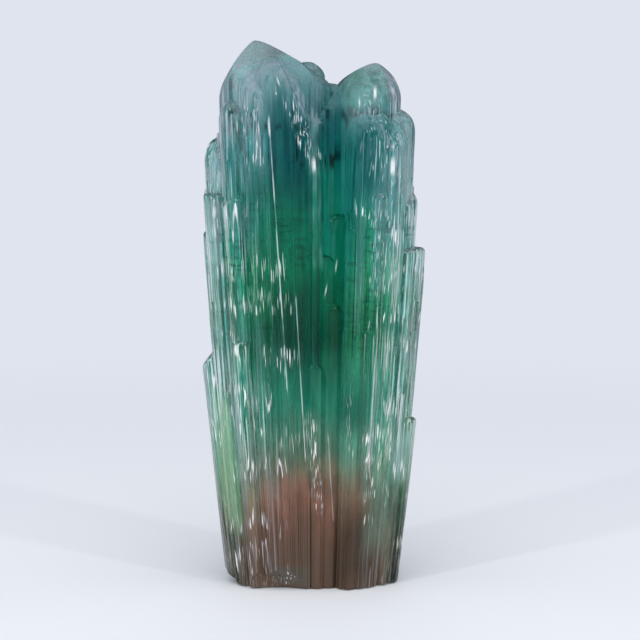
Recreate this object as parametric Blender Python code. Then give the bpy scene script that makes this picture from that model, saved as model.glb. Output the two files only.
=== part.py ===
"""A green tourmaline: a bundle of striated prisms grown together side by side, standing on its broken base.

Metres, +Z up along the prisms. The origin is on the flat of the base, the broad front looks along -Y.
Every prism is a stem. Stems are laid out on a plan at full width, and the whole plan narrows towards the base.
"""

import math
import random
from collections import namedtuple

import bmesh
import bpy
from mathutils import Vector

MM = 0.001

# Overall size and the way the bundle narrows downwards
HEIGHT = 125.0 * MM
BASE_WIDTH_SHARE = 0.67
BASE_DEPTH_SHARE = 0.78
NARROWING_CURVE = 1.5

# Stems start below the base, which is then cut flat
BURIED = 4.0 * MM
SIDE_LEVELS = (0.0, 0.34, 0.67, 1.0)

# Sides: a twelve-sided prism with fine flat ridges worn into it
PRISM_FACES = 12
PRISM_TURN = math.radians(12)
TRIGONAL_BULGE = 0.06
FACING_LEAST = 0.2
RIDGE_WIDTH = 1.5 * MM
RIDGE_DEPTH = 0.55 * MM
RIDGE_SHARE_OF_WIDTH = 0.09
RIDGE_LEVELS = (0.0, 0.35, 0.7, 1.0)
FEWEST_RIDGES = 9
MOST_RIDGES = 54

# Tips: rings of points from the shoulder in to the apex
TIP_RINGS = (0.93, 0.76, 0.44, 0.12)
SMALL_TIP_RINGS = (0.84, 0.45)
SMALL_STEM = 4.0 * MM
SHOULDER_POWER = 5
TIP_RADIUS = 1.3 * MM

# Slopes of the faces that close a stem: (compass angle, rise over run)
ROOFS = {
    "falls_right": ((0, 0.58), (115, 0.95), (180, 1.30), (270, 0.85)),
    "falls_left": ((180, 0.58), (65, 1.00), (345, 1.10), (270, 0.80)),
    "steep": ((0, 1.60), (180, 1.30), (270, 0.55), (90, 0.40)),
    "slants_left": ((180, 0.85), (40, 0.25), (300, 0.60)),
    "slants_right": ((0, 0.85), (140, 0.25), (250, 0.60)),
    "pyramid": ((30, 0.62), (150, 0.62), (270, 0.62), (90, 0.50)),
    "dome": ((0, 0.85), (72, 0.80), (144, 0.85), (216, 0.80), (288, 0.90)),
    "flat": ((20, 0.16), (140, 0.12), (260, 0.20)),
}

# A stem: centre, half sizes and apex on the plan, height of the apex, closing faces and shoulder, in millimetres
Stem = namedtuple("Stem", "name x y half_width half_depth top apex_x apex_y roof shoulder")

MAIN_STEMS = (
    Stem("left_crystal", -8.6, 1.0, 13.4, 14.6, 125.0, -13.2, 0.5, "falls_right", 2.6),
    Stem("right_crystal", 12.3, 2.0, 7.9, 12.0, 119.9, 14.4, 1.5, "falls_left", 3.2),
    Stem("middle", 3.4, 3.5, 6.0, 11.0, 115.4, 3.0, 4.0, "pyramid", 2.0),
    Stem("small_peak", -0.3, 2.6, 3.2, 4.4, 120.2, -0.9, 2.6, "slants_right", 1.2),
    Stem("back_left", -14.0, 9.5, 8.6, 7.4, 108.0, -14.0, 9.0, "pyramid", 2.2),
    Stem("back_middle", 0.5, 11.4, 8.6, 6.6, 101.0, 1.5, 11.0, "falls_left", 2.0),
    Stem("back_right", 13.2, 9.6, 8.4, 6.6, 110.5, 12.0, 9.0, "pyramid", 2.4),
)

FRONT_STEMS = (
    Stem("left_blade", -17.6, -5.2, 4.6, 6.6, 112.8, -16.4, -4.0, "slants_left", 2.4),
    Stem("front_arch_low", -13.4, -9.2, 3.2, 4.4, 112.6, -13.0, -8.0, "dome", 2.0),
    Stem("front_arch", -7.2, -7.8, 7.2, 6.6, 121.4, -9.2, -5.2, "steep", 2.4),
    Stem("dark_face", -3.0, -8.4, 3.8, 5.2, 108.0, -4.0, -7.0, "falls_right", 1.8),
    Stem("pale_bevel", 0.9, -8.6, 1.9, 3.8, 107.6, 0.6, -8.2, "slants_right", 1.4),
    Stem("notch_column", 4.4, -4.4, 2.6, 4.2, 110.4, 4.2, -4.4, "flat", 0.8),
    Stem("right_front", 13.2, -6.4, 6.5, 6.6, 110.6, 12.6, -6.0, "dome", 3.4),
    Stem("right_corner", 18.2, -6.6, 3.9, 5.2, 106.8, 17.4, -6.0, "dome", 3.0),
    Stem("front_step_a", 15.8, -9.6, 2.9, 3.6, 91.4, 16.2, -9.4, "slants_left", 1.2),
    Stem("front_step_b", 12.4, -10.6, 2.3, 3.0, 86.8, 12.6, -10.4, "slants_left", 1.0),
    Stem("front_step_c", 9.8, -11.0, 1.9, 2.4, 83.0, 10.0, -11.0, "slants_left", 1.0),
    Stem("notch_step_a", 5.4, -7.4, 2.9, 2.8, 85.8, 5.8, -7.6, "slants_left", 1.0),
    Stem("notch_step_b", 3.8, -8.8, 2.8, 2.6, 76.6, 3.0, -9.0, "slants_right", 1.0),
    Stem("notch_step_c", 5.2, -9.8, 3.0, 2.7, 66.2, 4.4, -9.8, "slants_right", 1.0),
    Stem("low_rod_left", -12.2, -13.4, 1.3, 1.5, 48.8, -12.2, -13.4, "dome", 0.6),
    Stem("low_rod_right", 12.2, -12.4, 2.1, 2.2, 59.4, 12.6, -12.4, "slants_left", 0.8),
)

EDGE_STEMS = (
    Stem("right_edge_high", 19.6, 0.6, 4.3, 7.4, 109.4, 19.8, -1.0, "dome", 3.4),
    Stem("right_edge_second", 21.5, 1.0, 4.1, 6.4, 91.0, 22.4, 0.0, "dome", 2.6),
    Stem("right_edge_third", 23.0, -1.6, 4.7, 6.6, 77.9, 25.2, -2.0, "flat", 0.7),
    Stem("right_edge_back", 20.4, 7.2, 5.0, 5.0, 84.0, 20.0, 7.0, "pyramid", 1.4),
    Stem("right_flake", 25.6, -2.6, 4.1, 4.2, 38.6, 26.2, -2.6, "flat", 1.0),
    Stem("left_edge_high", -20.6, 0.4, 5.7, 7.6, 103.6, -20.6, 0.0, "dome", 4.2),
    Stem("left_edge_block", -22.9, -4.8, 3.8, 4.6, 90.6, -22.6, -4.8, "flat", 0.8),
    Stem("left_step", -18.6, -9.0, 3.4, 3.8, 90.4, -17.6, -8.6, "slants_left", 1.0),
    Stem("left_edge_third", -22.9, 0.4, 4.6, 7.0, 81.4, -25.0, 0.0, "flat", 0.5),
    Stem("left_edge_back", -20.2, 7.6, 5.4, 5.4, 92.0, -20.0, 7.4, "pyramid", 1.4),
    Stem("left_flake", -25.2, -1.0, 5.1, 5.6, 54.8, -24.4, -1.0, "slants_left", 0.9),
    Stem("left_front_low", -18.6, -10.2, 3.0, 3.6, 58.8, -18.4, -10.0, "dome", 0.8),
)

# Rods grown along the sides of larger stems: host, how many, compass range, height range in millimetres
ROD_GROUPS = (
    ("left_crystal", 9, (188, 268), (30, 104)),
    ("left_crystal", 4, (272, 318), (26, 70)),
    ("right_front", 6, (226, 318), (24, 98)),
    ("right_edge_third", 4, (280, 350), (22, 70)),
    ("back_left", 7, (50, 150), (40, 96)),
    ("back_middle", 6, (40, 140), (36, 92)),
    ("back_right", 6, (20, 120), (40, 98)),
    ("right_edge_back", 3, (0, 70), (30, 72)),
    ("left_edge_back", 3, (110, 190), (36, 80)),
)
ROD_HALF_WIDTH = (0.9, 1.9)
ROD_PROUD = (0.2, 0.5)
ROD_PLACE = (0.2, 0.8)
ROD_ROUNDNESS = (0.8, 1.2)
ROD_SHOULDER_SHARE = 0.5
ROD_ROOFS = ("dome", "slants_left", "slants_right", "pyramid")
ROD_SEED = 21

# Bites broken out of the base: centre, radius and stretch of a worn ball, in millimetres
BASE_CHIPS = (
    ((-8.0, -20.8, -4.4), 13.4, (1.2, 1.0, 1.0)),
    ((10.0, -21.0, -7.6), 12.0, (1.2, 1.0, 1.0)),
    ((-21.5, 2.0, -5.4), 8.4, (1.0, 1.6, 1.0)),
    ((22.0, 6.0, -6.8), 9.6, (1.0, 1.4, 1.0)),
    ((4.0, 20.6, -6.6), 12.4, (1.6, 1.0, 1.0)),
)
CHIP_ROUGHNESS = 0.05
CHIP_SEED = 4

CRYSTAL_GREEN = (0.03, 0.30, 0.19, 1.0)


def clear_scene():
    """Removes whatever the scene holds."""
    for obj in list(bpy.data.objects):
        bpy.data.objects.remove(obj, do_unlink=True)


def new_collection(name):
    """A new collection in the scene."""
    collection = bpy.data.collections.new(name)
    bpy.context.scene.collection.children.link(collection)
    return collection


def narrowed(x, y, z):
    """A point of the plan, moved in towards the axis as the bundle narrows down to height z."""
    below = max(0.0, 1.0 - z / HEIGHT) ** NARROWING_CURVE
    across = 1.0 - (1.0 - BASE_WIDTH_SHARE) * below
    deep = 1.0 - (1.0 - BASE_DEPTH_SHARE) * below
    return Vector((x * across, y * deep, z))


def prism_radius(angle):
    """Distance from the axis of a unit prism to its side, a hexagon and a blunted triangle combined."""
    step = math.tau / PRISM_FACES
    nearest = []
    for face in range(PRISM_FACES):
        normal = PRISM_TURN + face * step
        facing = math.cos(angle - normal)
        if facing > FACING_LEAST:
            bulge = TRIGONAL_BULGE * math.cos(3 * (normal - PRISM_TURN))
            nearest.append((1.0 + bulge) / facing)
    return min(nearest)


def roof_drop(stem, x, y):
    """How far the closing faces lie below the apex at a point of the plan, with the very tip rounded."""
    away_x, away_y = x - stem.apex_x * MM, y - stem.apex_y * MM
    falls = []
    for compass, slope in ROOFS[stem.roof]:
        heading = math.radians(compass)
        falls.append(slope * (away_x * math.cos(heading) + away_y * math.sin(heading)))
    drop = max(0.0, max(falls))
    return math.hypot(drop, TIP_RADIUS) - TIP_RADIUS


def ridge_offsets(stem, count):
    """Depth of each fine ridge round a stem, in metres, as flat-topped steps."""
    seeded = random.Random(stem.name)
    deepest = min(RIDGE_DEPTH, RIDGE_SHARE_OF_WIDTH * stem.half_width * MM)
    return [deepest * seeded.choice(RIDGE_LEVELS) for _ in range(count)]


def shaped_point(stem, angle, share, level, offset):
    """Where a point of the unit cylinder goes: share is 1 on the side and 0 at the apex, level 0 to 1 up the side."""
    radius = prism_radius(angle)
    rim_x = stem.x * MM + (stem.half_width * MM * radius - offset) * math.cos(angle)
    rim_y = stem.y * MM + (stem.half_depth * MM * radius - offset) * math.sin(angle)
    x = stem.apex_x * MM + share * (rim_x - stem.apex_x * MM)
    y = stem.apex_y * MM + share * (rim_y - stem.apex_y * MM)
    roof = stem.top * MM - roof_drop(stem, x, y) - stem.shoulder * MM * share**SHOULDER_POWER
    z = -BURIED + level * (roof + BURIED)
    return narrowed(x, y, z)


def make_stem(stem, collection):
    """One prism with its closing faces, as a closed mesh: a cylinder with levels and tip rings, then shaped."""
    around = math.pi * (stem.half_width + stem.half_depth) * MM
    sides = max(FEWEST_RIDGES, min(MOST_RIDGES, round(around / RIDGE_WIDTH)))
    small = stem.half_width * MM < SMALL_STEM
    bm = bmesh.new()
    bmesh.ops.create_cone(bm, cap_ends=True, segments=sides, radius1=1, radius2=1, depth=1)
    bmesh.ops.translate(bm, verts=bm.verts, vec=(0, 0, 0.5))
    for level in SIDE_LEVELS[1:-1]:
        geometry = bm.verts[:] + bm.edges[:] + bm.faces[:]
        bmesh.ops.bisect_plane(bm, geom=geometry, plane_co=(0, 0, level), plane_no=(0, 0, 1))
    cap = max(bm.faces, key=lambda face: face.calc_center_median().z)
    inner = 1.0
    for ring in SMALL_TIP_RINGS if small else TIP_RINGS:
        made = bmesh.ops.extrude_face_region(bm, geom=[cap])["geom"]
        bmesh.ops.delete(bm, geom=[cap], context="FACES_ONLY")
        cap = next(item for item in made if isinstance(item, bmesh.types.BMFace))
        bmesh.ops.scale(bm, verts=cap.verts, vec=(ring / inner, ring / inner, 1))
        inner = ring
    bmesh.ops.poke(bm, faces=[cap])
    offsets = ridge_offsets(stem, sides)
    for vert in bm.verts:
        share = math.hypot(vert.co.x, vert.co.y)
        angle = math.atan2(vert.co.y, vert.co.x)
        ridge = offsets[round(angle / math.tau * sides) % sides]
        vert.co = shaped_point(stem, angle, share, vert.co.z, ridge)
    bmesh.ops.recalc_face_normals(bm, faces=bm.faces)
    mesh = bpy.data.meshes.new(stem.name)
    bm.to_mesh(mesh)
    bm.free()
    obj = bpy.data.objects.new(stem.name, mesh)
    collection.objects.link(obj)
    return obj


def rods():
    """Thin stems half sunk in the sides of their hosts, at seeded places and heights."""
    hosts = {stem.name: stem for stem in MAIN_STEMS + FRONT_STEMS + EDGE_STEMS}
    seeded = random.Random(ROD_SEED)
    made = []
    for group, (host_name, count, compass, heights) in enumerate(ROD_GROUPS):
        host = hosts[host_name]
        for k in range(count):
            share = (k + seeded.uniform(*ROD_PLACE)) / count
            angle = math.radians(compass[0] + share * (compass[1] - compass[0]))
            half = seeded.uniform(*ROD_HALF_WIDTH)
            sunk = 1.0 - (half * (1.0 - seeded.uniform(*ROD_PROUD))) / host.half_width
            reach = prism_radius(angle) * sunk
            x = host.x + host.half_width * reach * math.cos(angle)
            y = host.y + host.half_depth * reach * math.sin(angle)
            top = seeded.uniform(*heights)
            roof = seeded.choice(ROD_ROOFS)
            deep = half * seeded.uniform(*ROD_ROUNDNESS)
            shoulder = half * ROD_SHOULDER_SHARE
            made.append(Stem(f"rod_{group}_{k}", x, y, half, deep, top, x, y, roof, shoulder))
    return made


def make_floor_cut(collection):
    """The slab that cuts every stem off flat at the base."""
    reach = 2 * HEIGHT
    bpy.ops.mesh.primitive_cube_add(size=1, location=(0, 0, -reach / 2))
    slab = bpy.context.object
    slab.name = "floor_cut"
    slab.scale = (reach, reach, reach)
    slab.users_collection[0].objects.unlink(slab)
    collection.objects.link(slab)


def make_chip(number, centre, radius, stretch, collection):
    """A rough ball that takes a shell-shaped bite out of the rim of the base."""
    bm = bmesh.new()
    bmesh.ops.create_icosphere(bm, subdivisions=3, radius=radius * MM)
    seeded = random.Random(CHIP_SEED + number)
    for vert in bm.verts:
        vert.co *= 1.0 + seeded.uniform(-CHIP_ROUGHNESS, CHIP_ROUGHNESS)
        vert.co.x *= stretch[0]
        vert.co.y *= stretch[1]
        vert.co.z *= stretch[2]
        vert.co += Vector(centre) * MM
    mesh = bpy.data.meshes.new(f"chip_{number}")
    bm.to_mesh(mesh)
    bm.free()
    collection.objects.link(bpy.data.objects.new(f"chip_{number}", mesh))


def add_boolean(obj, name, operation, collection):
    """Joins a collection's objects to an object, or cuts them out of it."""
    modifier = obj.modifiers.new(name, "BOOLEAN")
    modifier.operation = operation
    modifier.operand_type = "COLLECTION"
    modifier.collection = collection
    modifier.solver = "EXACT"


def crystal_material():
    """Clear green, a little frosted."""
    material = bpy.data.materials.new("green_tourmaline")
    material.use_nodes = True
    shader = material.node_tree.nodes["Principled BSDF"]
    shader.inputs["Base Color"].default_value = CRYSTAL_GREEN
    shader.inputs["Metallic"].default_value = 0.0
    shader.inputs["Roughness"].default_value = 0.22
    shader.inputs["IOR"].default_value = 1.63
    shader.inputs["Transmission Weight"].default_value = 0.85
    return material


def hide_guides(collection):
    """Keeps the joined and cutting objects out of renders."""
    for guide in collection.objects:
        guide.hide_render = True
        guide.display_type = "WIRE"


def main():
    """Builds the crystal: one object, with its stems joined and its base cut by modifiers."""
    clear_scene()
    part = new_collection("tourmaline")
    grown_on = new_collection("grown_on")
    broken_off = new_collection("broken_off")
    crystal = make_stem(MAIN_STEMS[0], part)
    crystal.name = "tourmaline_crystal"
    for stem in MAIN_STEMS[1:] + FRONT_STEMS + EDGE_STEMS + tuple(rods()):
        make_stem(stem, grown_on)
    make_floor_cut(broken_off)
    for number, (centre, radius, stretch) in enumerate(BASE_CHIPS):
        make_chip(number, centre, radius, stretch, broken_off)
    add_boolean(crystal, "grow_together", "UNION", grown_on)
    add_boolean(crystal, "break_base", "DIFFERENCE", broken_off)
    hide_guides(grown_on)
    hide_guides(broken_off)
    crystal.data.materials.append(crystal_material())


main()
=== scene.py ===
"""A green tourmaline bundle on a pale table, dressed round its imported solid.

The crystal is built from the same stems as the solid, with fine striations, worn tips and thin slivers added,
and is grown together into one clear body. Metres, +Z up, the broad front looks along -Y.
"""

from __future__ import annotations

import logging
import math
import random
from copy import copy
from dataclasses import dataclass
from enum import Enum
from functools import reduce

import bmesh
import bpy
import numpy as np
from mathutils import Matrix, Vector

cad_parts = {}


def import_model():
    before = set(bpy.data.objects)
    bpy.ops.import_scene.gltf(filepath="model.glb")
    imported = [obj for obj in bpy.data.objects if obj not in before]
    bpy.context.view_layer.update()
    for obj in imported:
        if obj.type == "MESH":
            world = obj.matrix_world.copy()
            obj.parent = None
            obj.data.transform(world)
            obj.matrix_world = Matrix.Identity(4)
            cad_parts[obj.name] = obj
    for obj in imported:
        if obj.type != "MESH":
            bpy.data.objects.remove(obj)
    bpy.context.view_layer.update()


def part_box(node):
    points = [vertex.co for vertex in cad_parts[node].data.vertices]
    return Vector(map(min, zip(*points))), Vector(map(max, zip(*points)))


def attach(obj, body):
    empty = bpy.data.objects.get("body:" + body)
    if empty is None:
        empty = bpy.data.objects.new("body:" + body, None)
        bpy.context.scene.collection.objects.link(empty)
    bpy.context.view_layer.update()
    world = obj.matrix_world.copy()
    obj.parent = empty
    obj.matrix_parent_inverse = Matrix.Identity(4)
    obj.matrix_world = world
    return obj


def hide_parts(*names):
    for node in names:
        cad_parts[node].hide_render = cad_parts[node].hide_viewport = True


MM = 0.001
NODE = "tourmaline_crystal"
LOG = logging.getLogger("tourmaline")

Colour = tuple[float, float, float]
Point = tuple[float, float, float]
Zones = tuple[tuple[float, Colour], ...]
Socket = bpy.types.NodeSocket
SocketValue = Socket | float | tuple[float, ...]


@dataclass(frozen=True)
class Plan:
    """The ground plan of the bundle and how it narrows towards the base.

    Attributes:
        height: Height of the highest tip, in metres.
        base_width_share: Width at the base as a share of the width at the top.
        base_depth_share: Depth at the base as a share of the depth at the top.
        curve: Power that the narrowing follows.
        buried: How far stems run below the base before they are cut, in millimetres.
    """

    height: float
    base_width_share: float = 0.67
    base_depth_share: float = 0.78
    curve: float = 1.5
    buried: float = 4.0

    def narrowed(self, x: np.ndarray, y: np.ndarray, z: np.ndarray) -> np.ndarray:
        """Moves plan points towards the axis, more so lower down.

        Args:
            x: Places across, in millimetres.
            y: Places in depth, in millimetres.
            z: Heights, in millimetres.

        Returns:
            Points in metres, one row of three for each place.
        """
        below = np.maximum(0.0, 1.0 - z * MM / self.height) ** self.curve
        across = 1.0 - (1.0 - self.base_width_share) * below
        deep = 1.0 - (1.0 - self.base_depth_share) * below
        return np.stack([x * across, y * deep, z], axis=-1) * MM


class Roof(Enum):
    """Faces that close a stem: compass angle in degrees, then rise over run."""

    FALLS_RIGHT = ((0, 0.58), (115, 0.95), (180, 1.30), (270, 0.85))
    FALLS_LEFT = ((180, 0.58), (65, 1.00), (345, 1.10), (270, 0.80))
    STEEP = ((0, 1.60), (180, 1.30), (270, 0.55), (90, 0.40))
    SLANTS_LEFT = ((180, 0.85), (40, 0.25), (300, 0.60))
    SLANTS_RIGHT = ((0, 0.85), (140, 0.25), (250, 0.60))
    PYRAMID = ((30, 0.62), (150, 0.62), (270, 0.62), (90, 0.50))
    DOME = ((0, 0.85), (72, 0.80), (144, 0.85), (216, 0.80), (288, 0.90))
    FLAT = ((20, 0.16), (140, 0.12), (260, 0.20))

    def drop(self, away_x: np.ndarray, away_y: np.ndarray, tip_radius: float) -> np.ndarray:
        """How far the closing faces lie below the apex.

        Args:
            away_x: Distance from the apex across, in millimetres.
            away_y: Distance from the apex in depth, in millimetres.
            tip_radius: Radius that rounds the very tip, in millimetres.

        Returns:
            The drop at each place, in millimetres.
        """
        falls = np.zeros_like(away_x)
        for compass, slope in self.value:
            heading = math.radians(compass)
            falls = np.maximum(falls, slope * (away_x * math.cos(heading) + away_y * math.sin(heading)))
        return np.hypot(falls, tip_radius) - tip_radius


@dataclass(frozen=True)
class Stem:
    """One prism of the bundle, in millimetres on the plan.

    Attributes:
        name: What the stem is called.
        x: Centre across.
        y: Centre in depth.
        half_width: Half its width.
        half_depth: Half its depth.
        top: Height of its apex.
        apex_x: Apex across.
        apex_y: Apex in depth.
        roof: Faces that close it.
        shoulder: How far its rim is rounded down.
    """

    name: str
    x: float
    y: float
    half_width: float
    half_depth: float
    top: float
    apex_x: float
    apex_y: float
    roof: Roof
    shoulder: float


@dataclass(frozen=True)
class Striation:
    """Sizes of the ridges and steps on a stem, in millimetres.

    Attributes:
        ridge_width: Width of the broad ridges.
        ridge_depth: Greatest depth of the broad ridges.
        ridge_share: Greatest depth as a share of a stem's half width.
        fewest: Fewest broad ridges round a stem.
        most: Most broad ridges round a stem.
        line_width: Width of the fine lines.
        line_depth: Greatest depth of the fine lines.
        level_step: Height between two levels of points.
        tip_radius: Radius that rounds a tip.
        wear: How much lower than the solid's a worn shoulder is.
    """

    ridge_width: float = 1.5
    ridge_depth: float = 0.32
    ridge_share: float = 0.09
    fewest: int = 9
    most: int = 54
    line_width: float = 0.3
    line_depth: float = 0.05
    level_step: float = 2.6
    tip_radius: float = 1.3
    wear: float = 0.35


@dataclass(frozen=True)
class PrismShape:
    """Cross-section of a unit prism: twelve faces, a hexagon mixed with a blunted triangle.

    Attributes:
        faces: Number of faces.
        turn: Direction of the first face, in radians.
        bulge: How much further out the corners of the triangle stand.
        facing_least: How squarely a face has to look along a direction to bound it.
    """

    faces: int = 12
    turn: float = math.radians(12)
    bulge: float = 0.06
    facing_least: float = 0.2

    def radius(self, angle: np.ndarray) -> np.ndarray:
        """Distance from the axis to the side.

        Args:
            angle: Directions, in radians.

        Returns:
            The distance for each direction, about 1.
        """
        normals = self.turn + np.arange(self.faces) * math.tau / self.faces
        reach = 1.0 + self.bulge * np.cos(3 * (normals - self.turn))
        facing = np.cos(angle[:, None] - normals[None, :])
        nearest = np.where(facing > self.facing_least, reach / np.maximum(facing, self.facing_least), np.inf)
        return nearest.min(axis=1)


MAIN_STEMS = (
    Stem("left_crystal", -8.6, 1.0, 13.4, 14.6, 125.0, -13.2, 0.5, Roof.FALLS_RIGHT, 2.6),
    Stem("right_crystal", 12.3, 2.0, 7.9, 12.0, 119.9, 14.4, 1.5, Roof.FALLS_LEFT, 3.2),
    Stem("middle", 3.4, 3.5, 6.0, 11.0, 115.4, 3.0, 4.0, Roof.PYRAMID, 2.0),
    Stem("small_peak", -0.3, 2.6, 3.2, 4.4, 120.2, -0.9, 2.6, Roof.SLANTS_RIGHT, 1.2),
    Stem("back_left", -14.0, 9.5, 8.6, 7.4, 108.0, -14.0, 9.0, Roof.PYRAMID, 2.2),
    Stem("back_middle", 0.5, 11.4, 8.6, 6.6, 101.0, 1.5, 11.0, Roof.FALLS_LEFT, 2.0),
    Stem("back_right", 13.2, 9.6, 8.4, 6.6, 110.5, 12.0, 9.0, Roof.PYRAMID, 2.4),
)

FRONT_STEMS = (
    Stem("left_blade", -17.6, -5.2, 4.6, 6.6, 112.8, -16.4, -4.0, Roof.SLANTS_LEFT, 2.4),
    Stem("front_arch_low", -13.4, -9.2, 3.2, 4.4, 112.6, -13.0, -8.0, Roof.DOME, 2.0),
    Stem("front_arch", -7.2, -7.8, 7.2, 6.6, 121.4, -9.2, -5.2, Roof.STEEP, 2.4),
    Stem("dark_face", -3.0, -8.4, 3.8, 5.2, 108.0, -4.0, -7.0, Roof.FALLS_RIGHT, 1.8),
    Stem("pale_bevel", 0.9, -8.6, 1.9, 3.8, 107.6, 0.6, -8.2, Roof.SLANTS_RIGHT, 1.4),
    Stem("notch_column", 4.4, -4.4, 2.6, 4.2, 110.4, 4.2, -4.4, Roof.FLAT, 0.8),
    Stem("right_front", 13.2, -6.4, 6.5, 6.6, 110.6, 12.6, -6.0, Roof.DOME, 3.4),
    Stem("right_corner", 18.2, -6.6, 3.9, 5.2, 106.8, 17.4, -6.0, Roof.DOME, 3.0),
    Stem("front_step_a", 15.8, -9.6, 2.9, 3.6, 91.4, 16.2, -9.4, Roof.SLANTS_LEFT, 1.2),
    Stem("front_step_b", 12.4, -10.6, 2.3, 3.0, 86.8, 12.6, -10.4, Roof.SLANTS_LEFT, 1.0),
    Stem("front_step_c", 9.8, -11.0, 1.9, 2.4, 83.0, 10.0, -11.0, Roof.SLANTS_LEFT, 1.0),
    Stem("notch_step_a", 5.4, -7.4, 2.9, 2.8, 85.8, 5.8, -7.6, Roof.SLANTS_LEFT, 1.0),
    Stem("notch_step_b", 3.8, -8.8, 2.8, 2.6, 76.6, 3.0, -9.0, Roof.SLANTS_RIGHT, 1.0),
    Stem("notch_step_c", 5.2, -9.8, 3.0, 2.7, 66.2, 4.4, -9.8, Roof.SLANTS_RIGHT, 1.0),
    Stem("low_rod_left", -12.2, -13.4, 1.3, 1.5, 48.8, -12.2, -13.4, Roof.DOME, 0.6),
    Stem("low_rod_right", 12.2, -12.4, 2.1, 2.2, 59.4, 12.6, -12.4, Roof.SLANTS_LEFT, 0.8),
)

EDGE_STEMS = (
    Stem("right_edge_high", 19.6, 0.6, 4.3, 7.4, 109.4, 19.8, -1.0, Roof.DOME, 3.4),
    Stem("right_edge_second", 21.5, 1.0, 4.1, 6.4, 91.0, 22.4, 0.0, Roof.DOME, 2.6),
    Stem("right_edge_third", 23.0, -1.6, 4.7, 6.6, 77.9, 25.2, -2.0, Roof.FLAT, 0.7),
    Stem("right_edge_back", 20.4, 7.2, 5.0, 5.0, 84.0, 20.0, 7.0, Roof.PYRAMID, 1.4),
    Stem("right_flake", 25.6, -2.6, 4.1, 4.2, 38.6, 26.2, -2.6, Roof.FLAT, 1.0),
    Stem("left_edge_high", -20.6, 0.4, 5.7, 7.6, 103.6, -20.6, 0.0, Roof.DOME, 4.2),
    Stem("left_edge_block", -22.9, -4.8, 3.8, 4.6, 90.6, -22.6, -4.8, Roof.FLAT, 0.8),
    Stem("left_step", -18.6, -9.0, 3.4, 3.8, 90.4, -17.6, -8.6, Roof.SLANTS_LEFT, 1.0),
    Stem("left_edge_third", -22.9, 0.4, 4.6, 7.0, 81.4, -25.0, 0.0, Roof.FLAT, 0.5),
    Stem("left_edge_back", -20.2, 7.6, 5.4, 5.4, 92.0, -20.0, 7.4, Roof.PYRAMID, 1.4),
    Stem("left_flake", -25.2, -1.0, 5.1, 5.6, 54.8, -24.4, -1.0, Roof.SLANTS_LEFT, 0.9),
    Stem("left_front_low", -18.6, -10.2, 3.0, 3.6, 58.8, -18.4, -10.0, Roof.DOME, 0.8),
)

FILLERS = (
    Stem("right_fill", 8.7, -9.3, 1.8, 2.2, 60.0, 8.2, -9.3, Roof.SLANTS_LEFT, 1.2),
    Stem("left_fill", 1.4, -11.2, 2.6, 2.0, 52.0, 0.4, -11.2, Roof.SLANTS_RIGHT, 1.4),
)


@dataclass(frozen=True)
class RodGroup:
    """Thin stems grown along the side of a larger one.

    Attributes:
        host: Name of the larger stem.
        count: How many rods.
        compass: First and last direction from the host's axis, in degrees.
        heights: Lowest and highest tip, in millimetres.
    """

    host: str
    count: int
    compass: tuple[float, float]
    heights: tuple[float, float]


ROD_GROUPS = (
    RodGroup("left_crystal", 9, (188, 268), (30, 104)),
    RodGroup("left_crystal", 4, (272, 318), (26, 70)),
    RodGroup("right_front", 6, (226, 318), (24, 98)),
    RodGroup("right_edge_third", 4, (280, 350), (22, 70)),
    RodGroup("back_left", 7, (50, 150), (40, 96)),
    RodGroup("back_middle", 6, (40, 140), (36, 92)),
    RodGroup("back_right", 6, (20, 120), (40, 98)),
    RodGroup("right_edge_back", 3, (0, 70), (30, 72)),
    RodGroup("left_edge_back", 3, (110, 190), (36, 80)),
)

SLIVER_GROUPS = (
    RodGroup("left_crystal", 34, (186, 290), (10, 112)),
    RodGroup("left_blade", 16, (170, 290), (14, 106)),
    RodGroup("front_arch", 14, (205, 335), (12, 114)),
    RodGroup("dark_face", 4, (230, 330), (12, 100)),
    RodGroup("right_front", 26, (225, 335), (10, 106)),
    RodGroup("right_corner", 16, (250, 350), (14, 102)),
    RodGroup("right_edge_high", 12, (280, 400), (30, 104)),
    RodGroup("right_edge_third", 16, (270, 400), (10, 76)),
    RodGroup("left_edge_high", 12, (150, 250), (40, 99)),
    RodGroup("left_edge_third", 16, (140, 260), (10, 78)),
    RodGroup("left_edge_block", 8, (190, 290), (20, 86)),
    RodGroup("left_step", 10, (190, 310), (16, 86)),
    RodGroup("back_left", 24, (40, 160), (14, 103)),
    RodGroup("back_middle", 24, (30, 150), (12, 97)),
    RodGroup("back_right", 24, (20, 130), (14, 105)),
)


@dataclass(frozen=True)
class RodCut:
    """How thick the thin stems are and how far they stand out.

    Attributes:
        prefix: First part of their names.
        seed: Seed of their places.
        half_width: Thinnest and thickest half width, in millimetres.
        proud: Least and greatest share of that half width that stands out of the host.
    """

    prefix: str
    seed: int
    half_width: tuple[float, float]
    proud: tuple[float, float]


RODS = RodCut("rod", 21, (0.9, 1.9), (0.2, 0.5))
SLIVERS = RodCut("sliver", 5, (0.35, 1.1), (0.12, 0.4))


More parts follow.
